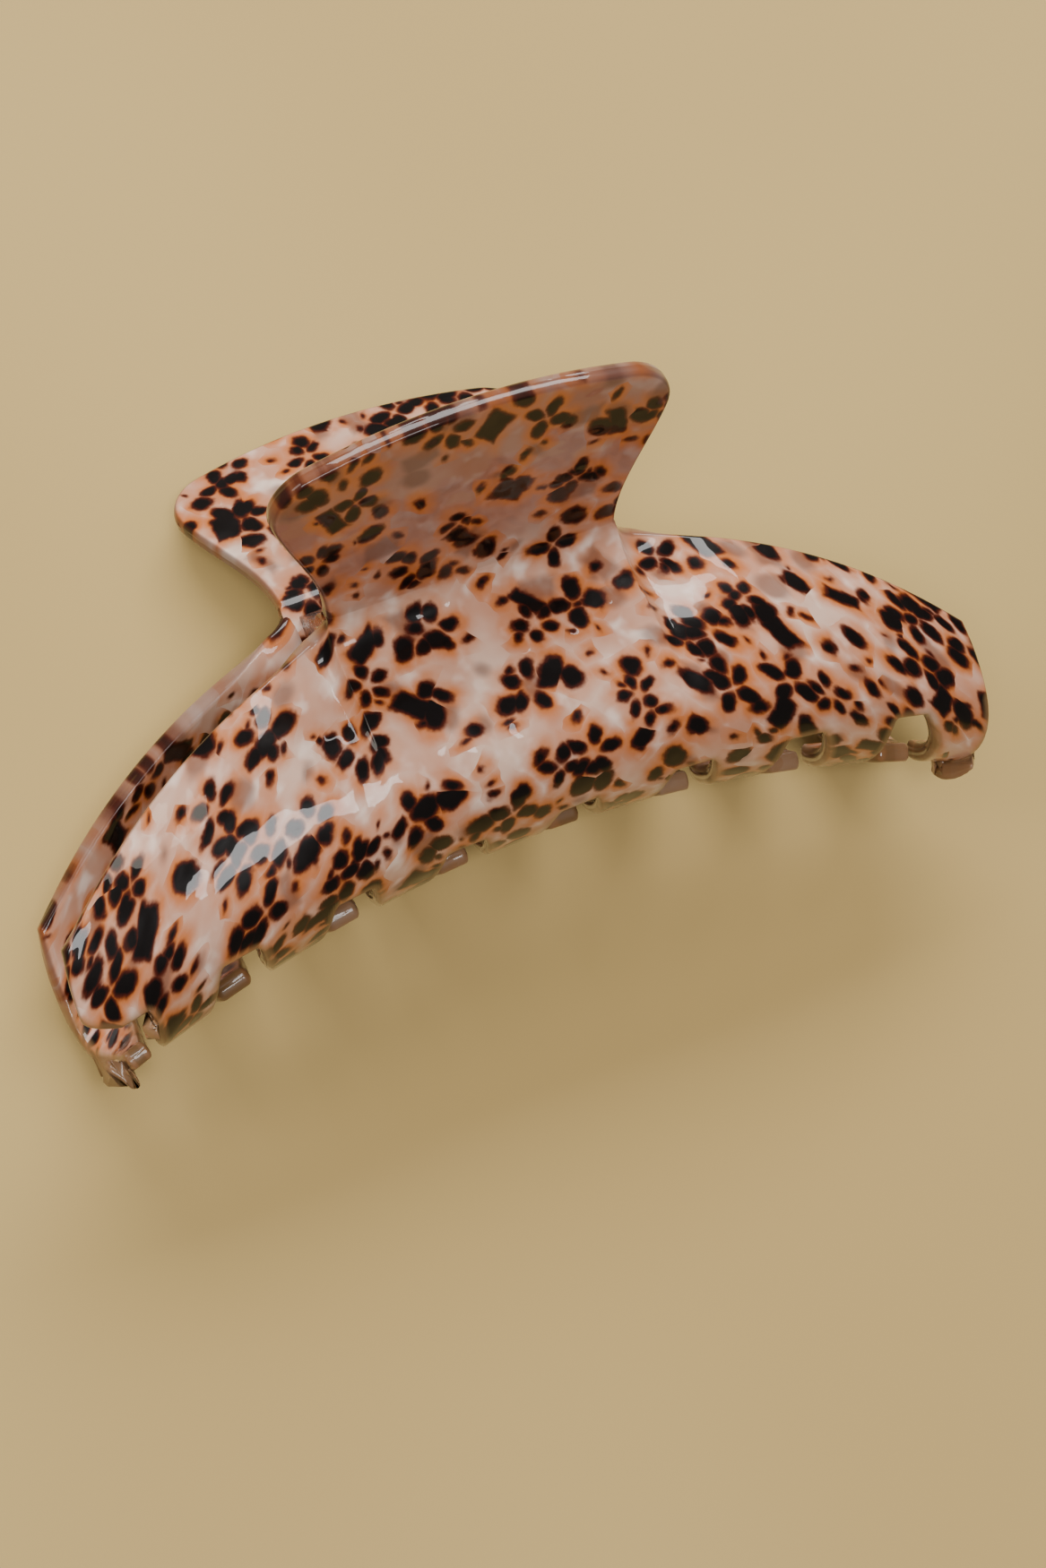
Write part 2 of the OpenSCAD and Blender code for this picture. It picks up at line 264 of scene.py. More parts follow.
def handle_point(share, v):
    """Outer face of the handle: share is -1 to 1 across it, and v is 0 at the neck and 1 at the tip."""
    rate = (LEAN_TIP - LEAN_ROOT) / HANDLE_LENGTH
    radius = math.degrees(1) / rate
    edge = NECK_HALF + HANDLE_FLARE
    into = max(0.0, abs(share) * edge - (edge - CORNER_RADIUS))
    corner = CORNER_RADIUS - math.sqrt(max(0.0, CORNER_RADIUS**2 - into * into))
    s = (HANDLE_LENGTH - TIP_SAG * share * share - corner) * v
    lean = math.radians(LEAN_ROOT + rate * s)
    root = math.radians(LEAN_ROOT)
    half = NECK_HALF + HANDLE_FLARE * (1 - math.cos(math.pi * min(1, s / (0.85 * HANDLE_LENGTH)))) / 2
    return Vector((
        share * half,
        NECK_Y + radius * (math.sin(lean) - math.sin(root)),
        NECK_GAP + radius * (math.cos(root) - math.cos(lean)),
    ))


# ---------------------------------------------------------------- mesh helpers

# Distances from an edge at which the mesh has a row, so that the polished edge comes out round
EDGE_ROWS = (0, 0.02, 0.07, 0.16, 0.3, 0.48, 0.7)
EDGE_POWER = 2.6  # a polished wall with rounded corners
BODY_ROWS = 44
HANDLE_ROWS = 26
COLUMN_GAP = 0.33


def spread(lo, hi, gap):
    count = max(1, round((hi - lo) / gap))
    return [lo + (hi - lo) * k / count for k in range(count)]


def edge_spread(length, count):
    """Places from 0 to length, close together near both ends."""
    near = list(EDGE_ROWS)
    inner = spread(near[-1], length - near[-1], (length - 2 * near[-1]) / count)
    return near[:-1] + inner + [length - e for e in reversed(near)]


def columns():
    """Places along the jaw, close together at its ends, at the handle's sides and in the root fillets."""
    side = NECK_HALF
    half = [0.0]
    half += spread(0, side - EDGE_ROWS[-1], COLUMN_GAP)[1:]
    half += [side - e for e in reversed(EDGE_ROWS)]
    half += spread(side, side + 3, 0.15)[1:]
    half += spread(side + 3, HALF_LENGTH - EDGE_ROWS[-1], COLUMN_GAP)
    half += [HALF_LENGTH - e for e in reversed(EDGE_ROWS)]
    return [-x for x in reversed(half[1:])] + half


def measured_column(point, samples, count):
    """Points down one column, spaced by their distance along it, each with that distance."""
    line = [point(k / samples) for k in range(samples + 1)]
    run = [0.0]
    for a, b in zip(line, line[1:]):
        run.append(run[-1] + (b - a).length)
    out = []
    k = 0
    for want in edge_spread(run[-1], count):
        while k < samples - 1 and run[k + 1] < want:
            k += 1
        share = (want - run[k]) / max(1e-9, run[k + 1] - run[k])
        t = min(1.0, (k + min(1.0, share)) / samples)
        out.append((point(t), want, t))
    return out


def activate(obj):
    bpy.ops.object.select_all(action="DESELECT")
    obj.select_set(True)
    bpy.context.view_layer.objects.active = obj


def to_table(point, back):
    """From the clip's own axes in millimetres to the resting clip's place in metres."""
    x, y, z = point
    if back:
        x, z = -x, -z
    turned = Matrix.Rotation(REST_TILT, 3, "X") @ Vector((x, y, z))
    return turned * MM + HINGE


def edge_points(edges, gap):
    for e in edges:
        a, b = (v.co for v in e.verts)
        steps = max(1, math.ceil((b - a).length / gap))
        for k in range(steps):
            yield a.lerp(b, k / steps)


def distances(verts, edges):
    points = list(edge_points(edges, 0.08))
    tree = KDTree(len(points))
    for k, p in enumerate(points):
        tree.insert(p, k)
    tree.balance()
    return [tree.find(v.co)[2] for v in verts]


def jaw_mesh(name, edge_round, back):
    """One jaw: a grid shaped to the outer face, doubled into a closed sheet with polished round edges."""
    places = columns()
    body = [measured_column(lambda t, x=x: body_point(x, 2 * t), 110, BODY_ROWS) for x in places]
    neck = [k for k, x in enumerate(places) if abs(x) <= NECK_HALF + 1e-6]
    handle = {}
    for k in neck:
        share = places[k] / NECK_HALF
        down = measured_column(lambda t, s=share: handle_point(s, t), 40, HANDLE_ROWS)
        handle[k] = down[1:]
    body_rows = len(body[0])
    handle_rows = len(handle[neck[0]])
    bpy.ops.object.select_all(action="DESELECT")
    bpy.ops.mesh.primitive_grid_add(
        x_subdivisions=len(places) - 1, y_subdivisions=body_rows + handle_rows - 1, size=1
    )
    obj = bpy.context.active_object
    obj.name = obj.data.name = name
    bm = bmesh.new()
    bm.from_mesh(obj.data)
    bm.verts.ensure_lookup_table()
    place = bm.verts.layers.float_vector.new("sheet_place")
    tooth_gap = bm.verts.layers.float.new("tooth_edge")
    rim_gap = bm.verts.layers.float.new("rim_gap")
    spare = []
    width = len(places)
    low = {}
    for index, v in enumerate(bm.verts):
        row, k = divmod(index, width)
        if row < body_rows:
            co, run, t = body[k][body_rows - 1 - row]
            v[place] = Vector((places[k], -run, 0)) * MM
            low[v] = t
        elif k in handle:
            co, run, t = handle[k][row - body_rows]
            v[place] = Vector((co.x, run, 0)) * MM
            low[v] = 0
        else:
            spare.append(v)
            continue
        v.co = co
    bmesh.ops.delete(bm, geom=spare, context="VERTS")
    bm.normal_update()
    if sum(f.normal.z * f.calc_area() for f in bm.faces) < 0:
        bmesh.ops.reverse_faces(bm, faces=bm.faces)
        bm.normal_update()
    verts = list(bm.verts)
    rim_edges = [e for e in bm.edges if e.is_boundary]
    rim = [v for v in verts if v.is_boundary]
    from_edge = distances(verts, rim_edges)
    tooth_edges = [e for e in rim_edges if min(low[v] for v in e.verts) > 0.55]
    from_tooth = distances(verts, tooth_edges)
    half = SHEET / 2
    outer, inner = [], []
    for v, gap, tooth in zip(verts, from_edge, from_tooth):
        near = min(1.0, gap / edge_round)
        thick = half * (1 - (1 - near) ** EDGE_POWER) ** (1 / EDGE_POWER)
        middle = v.co - half * v.normal
        outer.append(middle + thick * v.normal)
        inner.append(middle - thick * v.normal)
        v[tooth_gap] = min(0.02, tooth * MM)
        v[rim_gap] = min(0.02, gap * MM)
    made = bmesh.ops.duplicate(bm, geom=verts + list(bm.edges) + list(bm.faces))
    twins = [made["vert_map"][v] for v in verts]
    bmesh.ops.reverse_faces(bm, faces=[f for f in made["geom"] if isinstance(f, bmesh.types.BMFace)])
    for v, twin, a, b in zip(verts, twins, outer, inner):
        v.co = to_table(a, back)
        twin.co = to_table(b, back)
        twin[place] = v[place] - Vector((0, 0, SHEET * MM))
    rim_set = set(rim)
    weld = {twin: v for v, twin in zip(verts, twins) if v in rim_set}
    bmesh.ops.weld_verts(bm, targetmap=weld)
    for f in bm.faces:
        f.smooth = True
    bm.to_mesh(obj.data)
    bm.free()
    obj.data.update()
    return obj


# ---------------------------------------------------------------- materials


def linear(hex_colour):
    """An sRGB hex colour as the linear RGBA that a socket takes."""
    out = []
    for k in (1, 3, 5):
        c = int(hex_colour[k : k + 2], 16) / 255
        out.append(c / 12.92 if c <= 0.04045 else ((c + 0.055) / 1.055) ** 2.4)
    return (*out, 1.0)


def new_material(name):
    mat = bpy.data.materials.new(name)
    mat.use_nodes = True
    mat.node_tree.nodes.clear()
    return mat


def add_node(mat, kind, inputs=None, **settings):
    """Adds a node, applies its settings and fills its inputs with values or links."""
    node = mat.node_tree.nodes.new(kind)
    for key, value in settings.items():
        setattr(node, key, value)
    for key, value in (inputs or {}).items():
        socket = node.inputs[key]
        if isinstance(value, bpy.types.NodeSocket):
            mat.node_tree.links.new(value, socket)
        else:
            socket.default_value = value
    return node


def vector_sum(mat, operation, a, b):
    return add_node(mat, "ShaderNodeVectorMath", {0: a, 1: b}, operation=operation).outputs[0]


def vector_scaled(mat, vector, scale):
    return add_node(mat, "ShaderNodeVectorMath", {0: vector, "Scale": scale}, operation="SCALE").outputs[0]


def object_place(mat):
    """The point's place in millimetres."""
    return vector_scaled(mat, add_node(mat, "ShaderNodeTexCoord").outputs["Object"], 1000.0)


def math_chain(mat):
    """Gives a function that does one sum on sockets: m("ADD", a, b)."""

    def m(operation, a, b=0.0):
        return add_node(mat, "ShaderNodeMath", {0: a, 1: b}, operation=operation).outputs[0]

    return m


def fade(mat, value, start, end, low=0.0, high=1.0):
    """Maps value from start..end to low..high, smoothly and clamped."""
    node = add_node(
        mat, "ShaderNodeMapRange",
        {"Value": value, "From Min": start, "From Max": end, "To Min": low, "To Max": high},
        interpolation_type="SMOOTHSTEP",
    )
    return node.outputs["Result"]


def blend_colour(mat, factor, a, b):
    node = add_node(mat, "ShaderNodeMix", {0: factor}, data_type="RGBA")
    for key, value in ((6, a), (7, b)):
        if isinstance(value, bpy.types.NodeSocket):
            mat.node_tree.links.new(value, node.inputs[key])
        else:
            node.inputs[key].default_value = value
    return node.outputs[2]


def noise(mat, place, size_mm, detail=2.0, rough=0.5):
    """Noise whose blotches are about size_mm across, on a place in millimetres."""
    return add_node(
        mat, "ShaderNodeTexNoise",
        {"Vector": place, "Scale": 1 / size_mm, "Detail": detail, "Roughness": rough},
        noise_dimensions="3D",
    )


def chip_cells(mat, place, cell_mm, spread_share):
    """Scatters one chip in each cell: returns its own turned axes in mm and three random values."""
    cells = add_node(
        mat, "ShaderNodeTexVoronoi",
        {"Vector": place, "Scale": 1 / cell_mm, "Randomness": spread_share},
        voronoi_dimensions="2D", feature="F1",
    )
    local = vector_sum(mat, "SUBTRACT", place, cells.outputs["Position"])
    luck = add_node(mat, "ShaderNodeSeparateColor", {"Color": cells.outputs["Color"]})
    m = math_chain(mat)
    turn = m("MULTIPLY", luck.outputs[0], math.tau)
    turned = add_node(
        mat, "ShaderNodeVectorRotate", {"Vector": local, "Angle": turn}, rotation_type="Z_AXIS"
    )
    axes = add_node(mat, "ShaderNodeSeparateXYZ", {0: turned.outputs[0]})
    return axes.outputs[0], axes.outputs[1], luck.outputs[1], luck.outputs[2]


def chip_round(mat, place, cell_mm, least, most, share, squeeze=0.75, spread_share=0.9):
    """Round to oval dots. Returns the distance in mm to the dot's edge, negative inside it."""
    m = math_chain(mat)
    x, y, size, chance = chip_cells(mat, place, cell_mm, spread_share)
    long = m("MULTIPLY", x, squeeze)
    reach = m("SQRT", m("ADD", m("MULTIPLY", long, long), m("MULTIPLY", y, y)))
    radius = m("ADD", m("MULTIPLY", size, most - least), least)
    missing = m("MULTIPLY", m("GREATER_THAN", chance, share), 9.0)
    return m("ADD", m("SUBTRACT", reach, radius), missing)


def chip_flower(mat, place, cell_mm, petals, ring, petal_long, petal_wide, share):
    """Petals set in a ring, which read as small flowers."""
    m = math_chain(mat)
    x, y, size, chance = chip_cells(mat, place, cell_mm, 0.75)
    angle = m("ARCTAN2", y, x)
    step = math.tau / petals
    folded = m("SUBTRACT", m("FLOORED_MODULO", angle, step), step / 2)
    reach = m("SQRT", m("ADD", m("MULTIPLY", x, x), m("MULTIPLY", y, y)))
    scale = m("ADD", m("MULTIPLY", size, 0.35), 0.82)
    out = m("SUBTRACT", m("MULTIPLY", reach, m("COSINE", folded)), m("MULTIPLY", scale, ring))
    aside = m("MULTIPLY", m("MULTIPLY", reach, m("SINE", folded)), petal_long / petal_wide)
    middle = m("SQRT", m("ADD", m("MULTIPLY", out, out), m("MULTIPLY", aside, aside)))
    petal = m("MULTIPLY", m("SUBTRACT", middle, m("MULTIPLY", scale, petal_long)), 0.85)
    missing = m("MULTIPLY", m("GREATER_THAN", chance, share), 9.0)
    return m("ADD", petal, missing)


def chip_block(mat, place, cell_mm, wide, long, share):
    """Cut blocks and shards, with their corners just taken off."""
    m = math_chain(mat)
    x, y, size, chance = chip_cells(mat, place, cell_mm, 0.85)
    lean = m("ADD", x, m("MULTIPLY", y, 0.22))
    half_wide = m("ADD", m("MULTIPLY", size, wide * 0.6), wide * 0.6)
    side = m("MAXIMUM", m("SUBTRACT", m("ABSOLUTE", lean), half_wide), -5.0)
    end = m("SUBTRACT", m("ABSOLUTE", y), long)
    both = m("SMOOTH_MAX", side, end)
    missing = m("MULTIPLY", m("GREATER_THAN", chance, share), 9.0)
    return m("ADD", both, missing)


def laminated_acetate(shift, body_colour, amber_colour, chip_colour):
    """Cast cellulose acetate: chips of dark brown set in a pearly blush body, under a clear layer."""
    mat = new_material("laminated_acetate")
    m = math_chain(mat)
    where = add_node(mat, "ShaderNodeAttribute", attribute_name="sheet_place")
    place = add_node(
        mat, "ShaderNodeMapping",
        {"Vector": where.outputs["Vector"], "Location": shift, "Scale": (1000, 1000, 1000)},
    ).outputs[0]
    flat = vector_sum(mat, "MULTIPLY", place, (1, 1, 0))
    # The chips' outlines soften and lean where the block was pressed
    warp = noise(mat, flat, 4.0).outputs["Color"]
    shove = vector_scaled(mat, vector_sum(mat, "SUBTRACT", warp, (0.5, 0.5, 0.5)), 1.7)
    bent = vector_sum(mat, "ADD", flat, shove)

    def moved(x, y):
        return vector_sum(mat, "ADD", bent, (x, y, 0))

    top = [
        chip_flower(mat, moved(0, 0), 11.5, 5, 2.2, 1.1, 0.82, 0.66),
        chip_flower(mat, moved(31, 17), 12.0, 4, 1.9, 1.3, 0.9, 0.6),
        chip_round(mat, moved(57, 5), 5.2, 0.6, 1.5, 0.66),
        chip_block(mat, moved(11, 43), 12.0, 1.5, 2.1, 0.5),
        chip_round(mat, moved(3, 71), 2.9, 0.05, 0.5, 0.3, 0.6),
    ]
    nearest = top[0]
    for layer in top[1:]:
        nearest = m("MINIMUM", nearest, layer)
    ragged = m("MULTIPLY", m("SUBTRACT", noise(mat, flat, 0.9).outputs["Fac"], 0.5), 0.5)
    nearest = m("ADD", nearest, ragged)
    sunk_dots = chip_round(mat, moved(83, 29), 7.5, 0.6, 1.9, 0.5)
    sunk_blocks = chip_block(mat, moved(67, 91), 13.0, 1.4, 2.4, 0.5)
    sunk = m("MINIMUM", sunk_dots, sunk_blocks)

    # Pearly body: pale blush with greyer and creamier drifts
    drift = noise(mat, flat, 11.0, 3.0).outputs["Fac"]
    flow = noise(mat, bent, 4.5).outputs["Fac"]
    body = blend_colour(mat, fade(mat, drift, 0.35, 0.65), body_colour, linear(TAN))
    body = blend_colour(mat, fade(mat, flow, 0.5, 0.72), body, linear(CREAM))
    # Painted shade: the handles' outer sides are drawn browner, standing in for the shade they lie in
    parts = add_node(mat, "ShaderNodeSeparateXYZ", {0: where.outputs["Vector"]})
    outer = fade(mat, parts.outputs[2], -0.0018, -0.0006)
    brown = m("MULTIPLY", outer, fade(mat, parts.outputs[1], -0.002, 0.01, 0.0, 0.62))
    body = blend_colour(mat, brown, body, linear(HANDLE_PAINTED_SHADE))
    # Amber that has bled out of the chips, deepest beside them
    patchy = fade(mat, noise(mat, flat, 5.0).outputs["Fac"], 0.34, 0.6, 0.45, 1.0)
    bleed = m("MULTIPLY", fade(mat, nearest, 2.3, 0.0), patchy)
    body = blend_colour(mat, bleed, body, amber_colour)
    # Chips that lie deeper show soft and greyed through the pearl
    body = blend_colour(mat, fade(mat, sunk, 0.5, -0.7, 0.0, 0.62), body, linear(DEEP_CHIP))
    edge = fade(mat, nearest, 0.5, -0.05)
    body = blend_colour(mat, edge, body, linear(CHIP_EDGE))
    core = fade(mat, nearest, 0.14, -0.38)
    body = blend_colour(mat, core, body, chip_colour)
    # The polished rim is darker than the faces
    rim = add_node(mat, "ShaderNodeAttribute", attribute_name="rim_gap")
    dark_rim = fade(mat, rim.outputs["Fac"], 0.0006, 0.0002, 0.0, 0.6)
    body = blend_colour(mat, dark_rim, body, linear(RIM_BROWN))
    # The tooth ends are ground down to the clear layer
    tooth = add_node(mat, "ShaderNodeAttribute", attribute_name="tooth_edge")
    clear = fade(mat, tooth.outputs["Fac"], 0.0016, 0.0004)
    body = blend_colour(mat, m("MULTIPLY", clear, 0.5), body, linear(CLEAR_LAYER))
    # Hand polishing leaves slow ripples that bend the highlights
    ripple = noise(mat, place, 7.0, 1.5).outputs["Fac"]
    bump = add_node(mat, "ShaderNodeBump", {"Strength": 0.5, "Distance": 0.0011, "Height": ripple})
    shader = add_node(mat, "ShaderNodeBsdfPrincipled", {
        "Base Color": body,
        "Metallic": 0.0,
        "Roughness": 0.32,
        "IOR": 1.49,
        "Specular IOR Level": 0.08,
        "Coat Weight": 0.9,
        "Coat Roughness": 0.02,
        "Coat IOR": 1.36,
        "Subsurface Weight": 0.12,
        "Subsurface Radius": (1.0, 0.6, 0.4),
        "Subsurface Scale": 0.0012,
        "Transmission Weight": m("MULTIPLY", clear, 0.25),
        "Normal": bump.outputs[0],
        "Coat Normal": bump.outputs[0],
    })
    add_node(mat, "ShaderNodeOutputMaterial", {"Surface": shader.outputs[0]})
    return mat


def moulded_acetate():
    """Moulded brown acetate of the knuckles: a duller gloss, clouded by the mould."""
    mat = new_material("moulded_acetate")
    place = object_place(mat)
    cloud = noise(mat, place, 2.2, 3.0).outputs["Fac"]
    colour = blend_colour(mat, fade(mat, cloud, 0.35, 0.65), linear("#3A1D14"), linear("#7C472C"))
    rough = fade(mat, noise(mat, place, 0.8, 2.0).outputs["Fac"], 0.3, 0.7, 0.22, 0.4)
    bump = add_node(mat, "ShaderNodeBump", {"Strength": 0.3, "Distance": 0.00005, "Height": cloud})
    shader = add_node(mat, "ShaderNodeBsdfPrincipled", {
        "Base Color": colour, "Roughness": rough, "IOR": 1.49, "Coat Weight": 0.4,
        "Coat Roughness": 0.08, "Normal": bump.outputs[0],
    })
    add_node(mat, "ShaderNodeOutputMaterial", {"Surface": shader.outputs[0]})
    return mat


def drawn_steel(name, pale, dark, stretch):
    """Drawn steel wire: bright, with fine lines left by the die along its length."""
    mat = new_material(name)
    place = object_place(mat)
    along = add_node(mat, "ShaderNodeMapping", {"Vector": place, "Scale": stretch}).outputs[0]
    lines = noise(mat, along, 0.25, 4.0).outputs["Fac"]
    colour = blend_colour(mat, fade(mat, lines, 0.35, 0.65), linear(dark), linear(pale))
    rough = fade(mat, lines, 0.3, 0.7, 0.16, 0.34)
    bump = add_node(mat, "ShaderNodeBump", {"Strength": 0.2, "Distance": 0.00002, "Height": lines})
    shader = add_node(mat, "ShaderNodeBsdfPrincipled", {
        "Base Color": colour, "Metallic": 1.0, "Roughness": rough, "Normal": bump.outputs[0],
    })
    add_node(mat, "ShaderNodeOutputMaterial", {"Surface": shader.outputs[0]})
    return mat


def sand_card(pale, dark):
    """Matt coloured card: one warm tone with a barely seen fibre."""
    mat = new_material("sand_card")
    place = object_place(mat)
    fibre = noise(mat, place, 1.5, 3.0).outputs["Fac"]
    wash = noise(mat, place, 160.0, 1.0).outputs["Fac"]
    colour = blend_colour(mat, fade(mat, wash, 0.3, 0.7), pale, linear(dark))
    bump = add_node(mat, "ShaderNodeBump", {"Strength": 0.08, "Distance": 0.00005, "Height": fibre})
    shader = add_node(mat, "ShaderNodeBsdfPrincipled", {
        "Base Color": colour, "Roughness": 0.75, "Specular IOR Level": 0.25, "Normal": bump.outputs[0],
    })
    add_node(mat, "ShaderNodeOutputMaterial", {"Surface": shader.outputs[0]})
    return mat


# ---------------------------------------------------------------- settings, operators and panel


def colour_property(name, description, hex_colour):
    return bpy.props.FloatVectorProperty(
        name=name, description=description, default=linear(hex_colour), size=4, subtype="COLOR", min=0, max=1
    )


class ClipSettings(bpy.types.PropertyGroup):
    """Sizes and colours of the clip that a user would change."""

    edge_round: bpy.props.FloatProperty(
        name="Edge Rounding", description="How far the polished edge rounds in over the sheet's faces",
        default=0.65 * MM, min=0.0003, max=0.0012, unit="LENGTH",
    )
    pattern_shift: bpy.props.FloatVectorProperty(
        name="Pattern Shift", description="Where on the patterned block the front jaw's sheet was cut",
        default=(0.0, 0.0, 0.0), size=3, subtype="TRANSLATION",
    )
    wire_sides: bpy.props.IntProperty(
        name="Wire Sides", description="Faces round the spring wire", default=14, min=6, max=32,
    )
    body_colour: colour_property("Body", "Main colour of the pearly body", BLUSH)
    amber_colour: colour_property("Amber", "Colour that has bled out of the chips", AMBER)
    chip_colour: colour_property("Chips", "Colour of the chips' cores", CHIP_CORE)


class StageSettings(bpy.types.PropertyGroup):
    """The lights and the floor."""

    light_level: bpy.props.FloatProperty(
        name="Light Level", description="Brightness of all the lights, as a share", default=1.0, min=0.0,
        subtype="FACTOR", soft_max=2.0,
    )
    floor_colour: colour_property("Floor", "Main colour of the card under the clip", FLOOR_PALE)


class CLIP_OT_jaws(bpy.types.Operator):
    """Form both jaws with their teeth and handles"""

    bl_idname = "clip.jaws"
    bl_label = "Jaws"

    def execute(self, context):
        settings = context.scene.clip_settings
        for name, node, body, back in (
            ("front_jaw_sheet", "front_jaw", "front_half", False),
            ("back_jaw_sheet", "back_jaw", "back_half", True),
        ):
            jaw = jaw_mesh(name, settings.edge_round / MM, back)
            shift = Vector(settings.pattern_shift)
            mat = laminated_acetate(
                shift + BACK_CUT if back else shift,
                settings.body_colour, settings.amber_colour, settings.chip_colour,
            )
            if back:
                mat.name = "laminated_acetate_back"
            jaw.data.materials.append(mat)
            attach(jaw, body)
            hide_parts(node)
        return {"FINISHED"}


class CLIP_OT_hinge(bpy.types.Operator):
    """Finish the knuckles and the hinge pin"""

    bl_idname = "clip.hinge"
    bl_label = "Hinge"

    def execute(self, context):
        acetate = moulded_acetate()
        steel = drawn_steel("drawn_steel_pin", "#C9C8C4", "#8F8E8B", (0.08, 1, 1))
        for name, node in frame["nodes"].items():
            if name.endswith("knuckle") or name == "hinge_pin":
                node.data.materials.clear()
                node.data.materials.append(steel if name == "hinge_pin" else acetate)
                weld = node.modifiers.new("Weld", "WELD")
                weld.merge_threshold = 1e-6
                bevel = node.modifiers.new("Bevel", "BEVEL")
                bevel.width = EDGE_BREAK
                bevel.segments = 3
                bevel.limit_method = "ANGLE"
                bevel.angle_limit = EDGE_BREAK_ANGLE
        return {"FINISHED"}


class CLIP_OT_spring(bpy.types.Operator):
    """Wind the torsion spring"""

    bl_idname = "clip.spring"
    bl_label = "Spring"

    def execute(self, context):
        contact = math.radians(LEG_LEAN + 90)
        sweep = math.tau * COIL_TURNS - 2 * contact
        length = (2 * WIRE_RADIUS + COIL_GAP) * sweep / math.tau
        steps = COIL_STEPS * COIL_TURNS
        path = []
        for k in range(steps + 1):
            a = -contact - sweep * k / steps
            path.append(Vector((
                length * (k / steps - 0.5), COIL_RADIUS * math.cos(a), COIL_RADIUS * math.sin(a)
            )))
        lean = math.radians(LEG_LEAN)
        legs = []
        for side, root in ((-1, path[0]), (1, path[-1])):
            out = Vector((0, math.cos(lean), side * math.sin(lean)))
            legs.append([root + out * LEG_LENGTH * share for share in LEG_SHARES])
        path = legs[0][::-1] + path + legs[1]
        curve = bpy.data.curves.new("torsion_spring_wire", "CURVE")
        curve.dimensions = "3D"
        curve.bevel_depth = WIRE_RADIUS * MM
        curve.bevel_resolution = (context.scene.clip_settings.wire_sides - 4) // 2
        curve.use_fill_caps = True
        line = curve.splines.new("POLY")
        line.points.add(len(path) - 1)
        for point, co in zip(line.points, path):
            point.co = (*to_table(co, False), 1)
        wire = bpy.data.objects.new("torsion_spring_wire", curve)
        context.scene.collection.objects.link(wire)
        activate(wire)
        bpy.ops.object.convert(target="MESH")
        wire = context.active_object
        wire.data.materials.clear()
        wire.data.materials.append(drawn_steel("drawn_steel_spring", "#D2D1CE", "#9C9B99", (1, 1, 1)))
        bpy.ops.object.shade_smooth()
        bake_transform(wire)
        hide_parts("torsion_spring")
        return {"FINISHED"}


def soft_light(name, place, target, along, length, width, power, colour):
    """A rectangle of light at place that faces target, with its long side along a direction."""
    data = bpy.data.lights.new(name, "AREA")
    data.energy = power
    data.color = linear(colour)[:3]
    data.shape = "RECTANGLE"
    data.size = length
    data.size_y = width
    out = (place - target).normalized()
    side = (along - out * along.dot(out)).normalized()
    turn = Matrix((side, out.cross(side), out)).transposed()
    light = bpy.data.objects.new(name, data)
    light.matrix_world = Matrix.Translation(place) @ turn.to_4x4()
    bpy.context.scene.collection.objects.link(light)
    return light


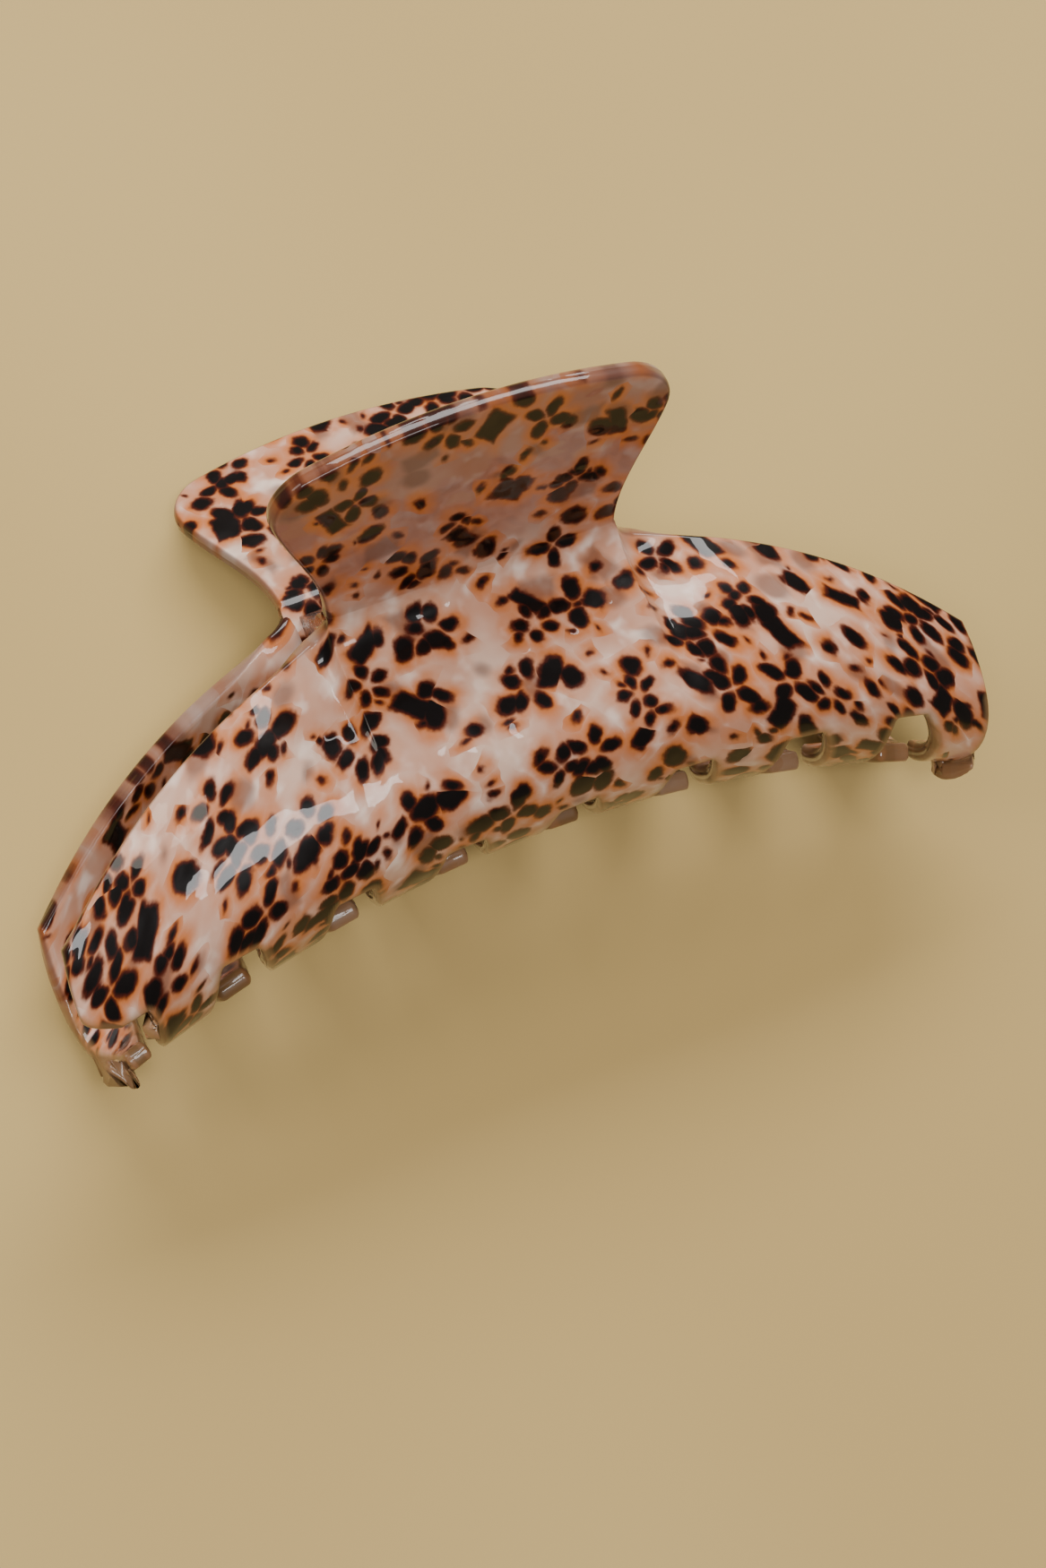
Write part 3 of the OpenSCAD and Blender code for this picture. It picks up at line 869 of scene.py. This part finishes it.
class CLIP_OT_stage(bpy.types.Operator):
    """Lay the clip on plain card under soft light, with the camera over it"""

    bl_idname = "clip.stage"
    bl_label = "Stage"

    def execute(self, context):
        bpy.ops.object.select_all(action="DESELECT")
        bpy.ops.mesh.primitive_plane_add(size=FLOOR_SIZE)
        floor = context.active_object
        floor.name = "floor"
        floor.data.materials.append(sand_card(context.scene.stage_settings.floor_colour, FLOOR_DARK))
        # The camera is tilted with the clip
        yaw, pitch, roll = (math.radians(a) for a in (CAMERA_YAW, CAMERA_PITCH, CAMERA_ROLL))
        back = Vector((-math.sin(yaw) * math.cos(pitch), math.sin(pitch), math.cos(yaw) * math.cos(pitch)))
        right = (-back).cross(Vector((0, 1, 0))).normalized()
        up = right.cross(-back)
        across = math.cos(roll) * right - math.sin(roll) * up
        rise = math.sin(roll) * right + math.cos(roll) * up
        tilt = Matrix.Rotation(REST_TILT, 3, "X")
        turn = tilt @ Matrix((across, rise, back)).transposed()
        target = to_table(CAMERA_TARGET, False)
        data = bpy.data.cameras.new("camera")
        data.lens = CAMERA_LENS
        data.sensor_width = SENSOR_WIDTH
        camera = bpy.data.objects.new("camera", data)
        camera.matrix_world = Matrix.Translation(target + tilt @ back * CAMERA_DISTANCE) @ turn.to_4x4()
        context.scene.collection.objects.link(camera)
        context.scene.camera = camera
        # Lights are placed in the camera's own directions, so the highlights fall as they should
        middle = to_table(LIGHT_AIM, False)
        hinge_way = Vector((1, 0, 0))
        level = context.scene.stage_settings.light_level
        for name, place, length, width, watts, colour, mirrored in LIGHTS:
            light = soft_light(
                name, middle + turn @ Vector(place), middle, hinge_way, length, width, watts * level, colour
            )
            # An unmirrored light is a broad bounce, too dim for the gloss to show
            light.visible_glossy = mirrored
        world = bpy.data.worlds.new("studio")
        world.use_nodes = True
        background = world.node_tree.nodes["Background"]
        background.inputs["Color"].default_value = linear(WORLD_COLOUR)
        background.inputs["Strength"].default_value = WORLD_STRENGTH
        context.scene.world = world
        return {"FINISHED"}


OPERATORS = (CLIP_OT_jaws, CLIP_OT_hinge, CLIP_OT_spring, CLIP_OT_stage)


class CLIP_PT_panel(bpy.types.Panel):
    """Lists the clip's pieces and their settings"""

    bl_label = "Claw Clip"
    bl_idname = "CLIP_PT_panel"
    bl_space_type = "VIEW_3D"
    bl_region_type = "UI"
    bl_category = "Claw Clip"

    def draw(self, context):
        layout = self.layout
        for settings in (context.scene.clip_settings, context.scene.stage_settings):
            for key in settings.__annotations__:
                layout.prop(settings, key)
        for operator in OPERATORS:
            layout.operator(operator.bl_idname)


CLASSES = (ClipSettings, StageSettings, *OPERATORS, CLIP_PT_panel)


def register():
    for cls in CLASSES:
        bpy.utils.register_class(cls)
    bpy.types.Scene.clip_settings = bpy.props.PointerProperty(type=ClipSettings)
    bpy.types.Scene.stage_settings = bpy.props.PointerProperty(type=StageSettings)


def unregister():
    del bpy.types.Scene.stage_settings
    del bpy.types.Scene.clip_settings
    for cls in reversed(CLASSES):
        bpy.utils.unregister_class(cls)


def main():
    register()
    bpy.ops.clip.jaws()
    bpy.ops.clip.hinge()
    bpy.ops.clip.spring()
    bpy.ops.clip.stage()


if __name__ == "__main__":
    main()
